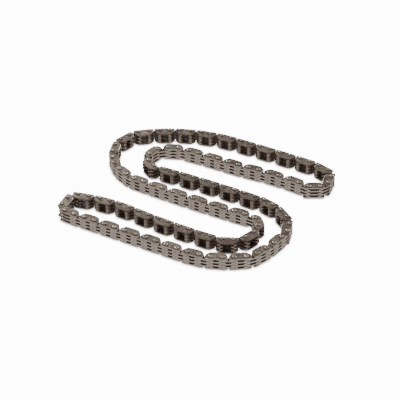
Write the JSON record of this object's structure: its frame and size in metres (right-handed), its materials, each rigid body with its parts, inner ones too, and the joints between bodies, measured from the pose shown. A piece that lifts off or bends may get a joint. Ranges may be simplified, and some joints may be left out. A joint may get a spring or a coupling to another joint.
{
  "type": "cam chain",
  "caption": "Endless inverted tooth timing chain folded into an S, with laced toothed plates and guide plates on riveted pins.",
  "frame": {"origin": "centre of the rectangle round the folded loop, on the plane that the lower pin heads rest on", "axes": "+Z along the pins, up from the resting plane; +X along the straight strands, +Y across them"},
  "size_m": [0.131, 0.1082, 0.0086],
  "materials": {
    "plate_steel": "satin heat-treated steel, brown-grey, oiled"
  },
  "bodies": {
    "strand_a": {"strand_a": "plate_steel"},
    "bend_ab_1": {"bend_ab_1": "plate_steel"},
    "bend_ab_2": {"bend_ab_2": "plate_steel"},
    "bend_ab_3": {"bend_ab_3": "plate_steel"},
    "strand_b": {"strand_b": "plate_steel"},
    "bend_bc_1": {"bend_bc_1": "plate_steel"},
    "bend_bc_2": {"bend_bc_2": "plate_steel"},
    "strand_c": {"strand_c": "plate_steel"},
    "bend_cd_1": {"bend_cd_1": "plate_steel"},
    "bend_cd_2": {"bend_cd_2": "plate_steel"},
    "strand_d_1": {"strand_d_1": "plate_steel"},
    "strand_d_2": {"strand_d_2": "plate_steel"},
    "bend_de_1": {"bend_de_1": "plate_steel"},
    "bend_de_2": {"bend_de_2": "plate_steel"},
    "strand_e": {"strand_e": "plate_steel"},
    "bend_ef_1": {"bend_ef_1": "plate_steel"},
    "bend_ef_2": {"bend_ef_2": "plate_steel"},
    "strand_f_1": {"strand_f_1": "plate_steel"},
    "strand_f_2": {"strand_f_2": "plate_steel"},
    "bend_fa": {"bend_fa": "plate_steel"}
  },
  "joints": [
    {"name": "bend_bc_1_pivot", "type": "hinge", "parent": "strand_b", "child": "bend_bc_1", "pos_m": [-0.00692, 0.00777, 0], "axis": [0, 0, 1], "range_deg": [-3.4, 1]},
    {"name": "bend_bc_2_pivot", "type": "hinge", "parent": "bend_bc_1", "child": "bend_bc_2", "pos_m": [-0.04009, 0.01599, 0], "axis": [0, 0, 1], "range_deg": [0, 45.9]},
    {"name": "strand_c_pivot", "type": "hinge", "parent": "bend_bc_2", "child": "strand_c", "pos_m": [0.0038, 0.02946, 0], "axis": [0, 0, 1], "range_deg": [-1, 5.5]},
    {"name": "bend_cd_1_pivot", "type": "hinge", "parent": "strand_c", "child": "bend_cd_1", "pos_m": [0.03551, 0.0306, 0], "axis": [0, 0, 1], "range_deg": [-5.1, 1]},
    {"name": "bend_cd_2_pivot", "type": "hinge", "parent": "bend_cd_1", "child": "bend_cd_2", "pos_m": [0.05839, 0.04885, 0], "axis": [0, 0, 1], "range_deg": [-1, 1.7]},
    {"name": "strand_d_1_pivot", "type": "hinge", "parent": "bend_cd_2", "child": "strand_d_1", "pos_m": [0.02064, 0.05225, 0], "axis": [0, 0, 1], "range_deg": [-3.5, 1]},
    {"name": "strand_d_2_pivot", "type": "hinge", "parent": "strand_d_1", "child": "strand_d_2", "pos_m": [-0.01737, 0.05092, 0], "axis": [0, 0, 1], "range_deg": [-13.5, 1]},
    {"name": "bend_de_1_pivot", "type": "hinge", "parent": "strand_d_2", "child": "bend_de_1", "pos_m": [-0.05228, 0.03638, 0], "axis": [0, 0, 1], "range_deg": [-1, 18.1]},
    {"name": "bend_de_2_pivot", "type": "hinge", "parent": "bend_de_1", "child": "bend_de_2", "pos_m": [-0.05846, 0.00345, 0], "axis": [0, 0, 1], "range_deg": [-48.8, 1]},
    {"name": "bend_ab_3_pivot", "type": "hinge", "parent": "strand_b", "child": "bend_ab_3", "pos_m": [0.02483, 0.00758, 0], "axis": [0, 0, 1], "range_deg": [-1, 5.8]},
    {"name": "bend_ab_2_pivot", "type": "hinge", "parent": "bend_ab_3", "child": "bend_ab_2", "pos_m": [0.05893, -0.01848, 0], "axis": [0, 0, 1], "range_deg": [-1, 27.2]},
    {"name": "bend_ab_1_pivot", "type": "hinge", "parent": "bend_ab_2", "child": "bend_ab_1", "pos_m": [0.05314, -0.03658, 0], "axis": [0, 0, 1], "range_deg": [-1, 18.1]},
    {"name": "strand_a_pivot", "type": "hinge", "parent": "bend_ab_1", "child": "strand_a", "pos_m": [0.01332, -0.05208, 0], "axis": [0, 0, 1], "range_deg": [-12.1, 1]},
    {"name": "bend_fa_pivot", "type": "hinge", "parent": "strand_a", "child": "bend_fa", "pos_m": [-0.04383, -0.05192, 0], "axis": [0, 0, 1], "range_deg": [-4.9, 1]},
    {"name": "strand_f_2_pivot", "type": "hinge", "parent": "bend_fa", "child": "strand_f_2", "pos_m": [-0.05151, -0.0342, 0], "axis": [0, 0, 1], "range_deg": [-1, 10.5]},
    {"name": "strand_f_1_pivot", "type": "hinge", "parent": "strand_f_2", "child": "strand_f_1", "pos_m": [-0.02623, -0.03256, 0], "axis": [0, 0, 1], "range_deg": [-1, 4]},
    {"name": "bend_ef_2_pivot", "type": "hinge", "parent": "strand_f_1", "child": "bend_ef_2", "pos_m": [0.00544, -0.03461, 0], "axis": [0, 0, 1], "range_deg": [-1, 4.1]},
    {"name": "bend_ef_1_pivot", "type": "hinge", "parent": "bend_ef_2", "child": "bend_ef_1", "pos_m": [0.04106, -0.02715, 0], "axis": [0, 0, 1], "range_deg": [-46.6, 1]},
    {"name": "strand_e_pivot", "type": "hinge", "parent": "bend_ef_1", "child": "strand_e", "pos_m": [0.01386, -0.01003, 0], "axis": [0, 0, 1], "range_deg": [-3.8, 1]}
  ],
  "couplings": [
    {"joint": "bend_bc_1_pivot", "follows": "bend_bc_2_pivot", "ratio": -0.050955},
    {"joint": "strand_c_pivot", "follows": "bend_bc_2_pivot", "ratio": 0.097218},
    {"joint": "bend_cd_1_pivot", "follows": "bend_bc_2_pivot", "ratio": -0.087148},
    {"joint": "bend_cd_2_pivot", "follows": "bend_bc_2_pivot", "ratio": 0.014355},
    {"joint": "strand_d_1_pivot", "follows": "bend_bc_2_pivot", "ratio": -0.052867},
    {"joint": "strand_d_2_pivot", "follows": "bend_bc_2_pivot", "ratio": -0.27073},
    {"joint": "bend_de_1_pivot", "follows": "bend_bc_2_pivot", "ratio": 0.37177},
    {"joint": "bend_de_2_pivot", "follows": "bend_bc_2_pivot", "ratio": -1.0396},
    {"joint": "bend_ab_3_pivot", "follows": "bend_bc_2_pivot", "ratio": 0.10426},
    {"joint": "bend_ab_2_pivot", "follows": "bend_bc_2_pivot", "ratio": 0.56893},
    {"joint": "bend_ab_1_pivot", "follows": "bend_bc_2_pivot", "ratio": 0.37097},
    {"joint": "strand_a_pivot", "follows": "bend_bc_2_pivot", "ratio": -0.24015},
    {"joint": "bend_fa_pivot", "follows": "bend_bc_2_pivot", "ratio": -0.084042},
    {"joint": "strand_f_2_pivot", "follows": "bend_bc_2_pivot", "ratio": 0.20654},
    {"joint": "strand_f_1_pivot", "follows": "bend_bc_2_pivot", "ratio": 0.064069},
    {"joint": "bend_ef_2_pivot", "follows": "bend_bc_2_pivot", "ratio": 0.067529},
    {"joint": "bend_ef_1_pivot", "follows": "bend_bc_2_pivot", "ratio": -0.99314},
    {"joint": "strand_e_pivot", "follows": "bend_bc_2_pivot", "ratio": -0.059249}
  ]
}
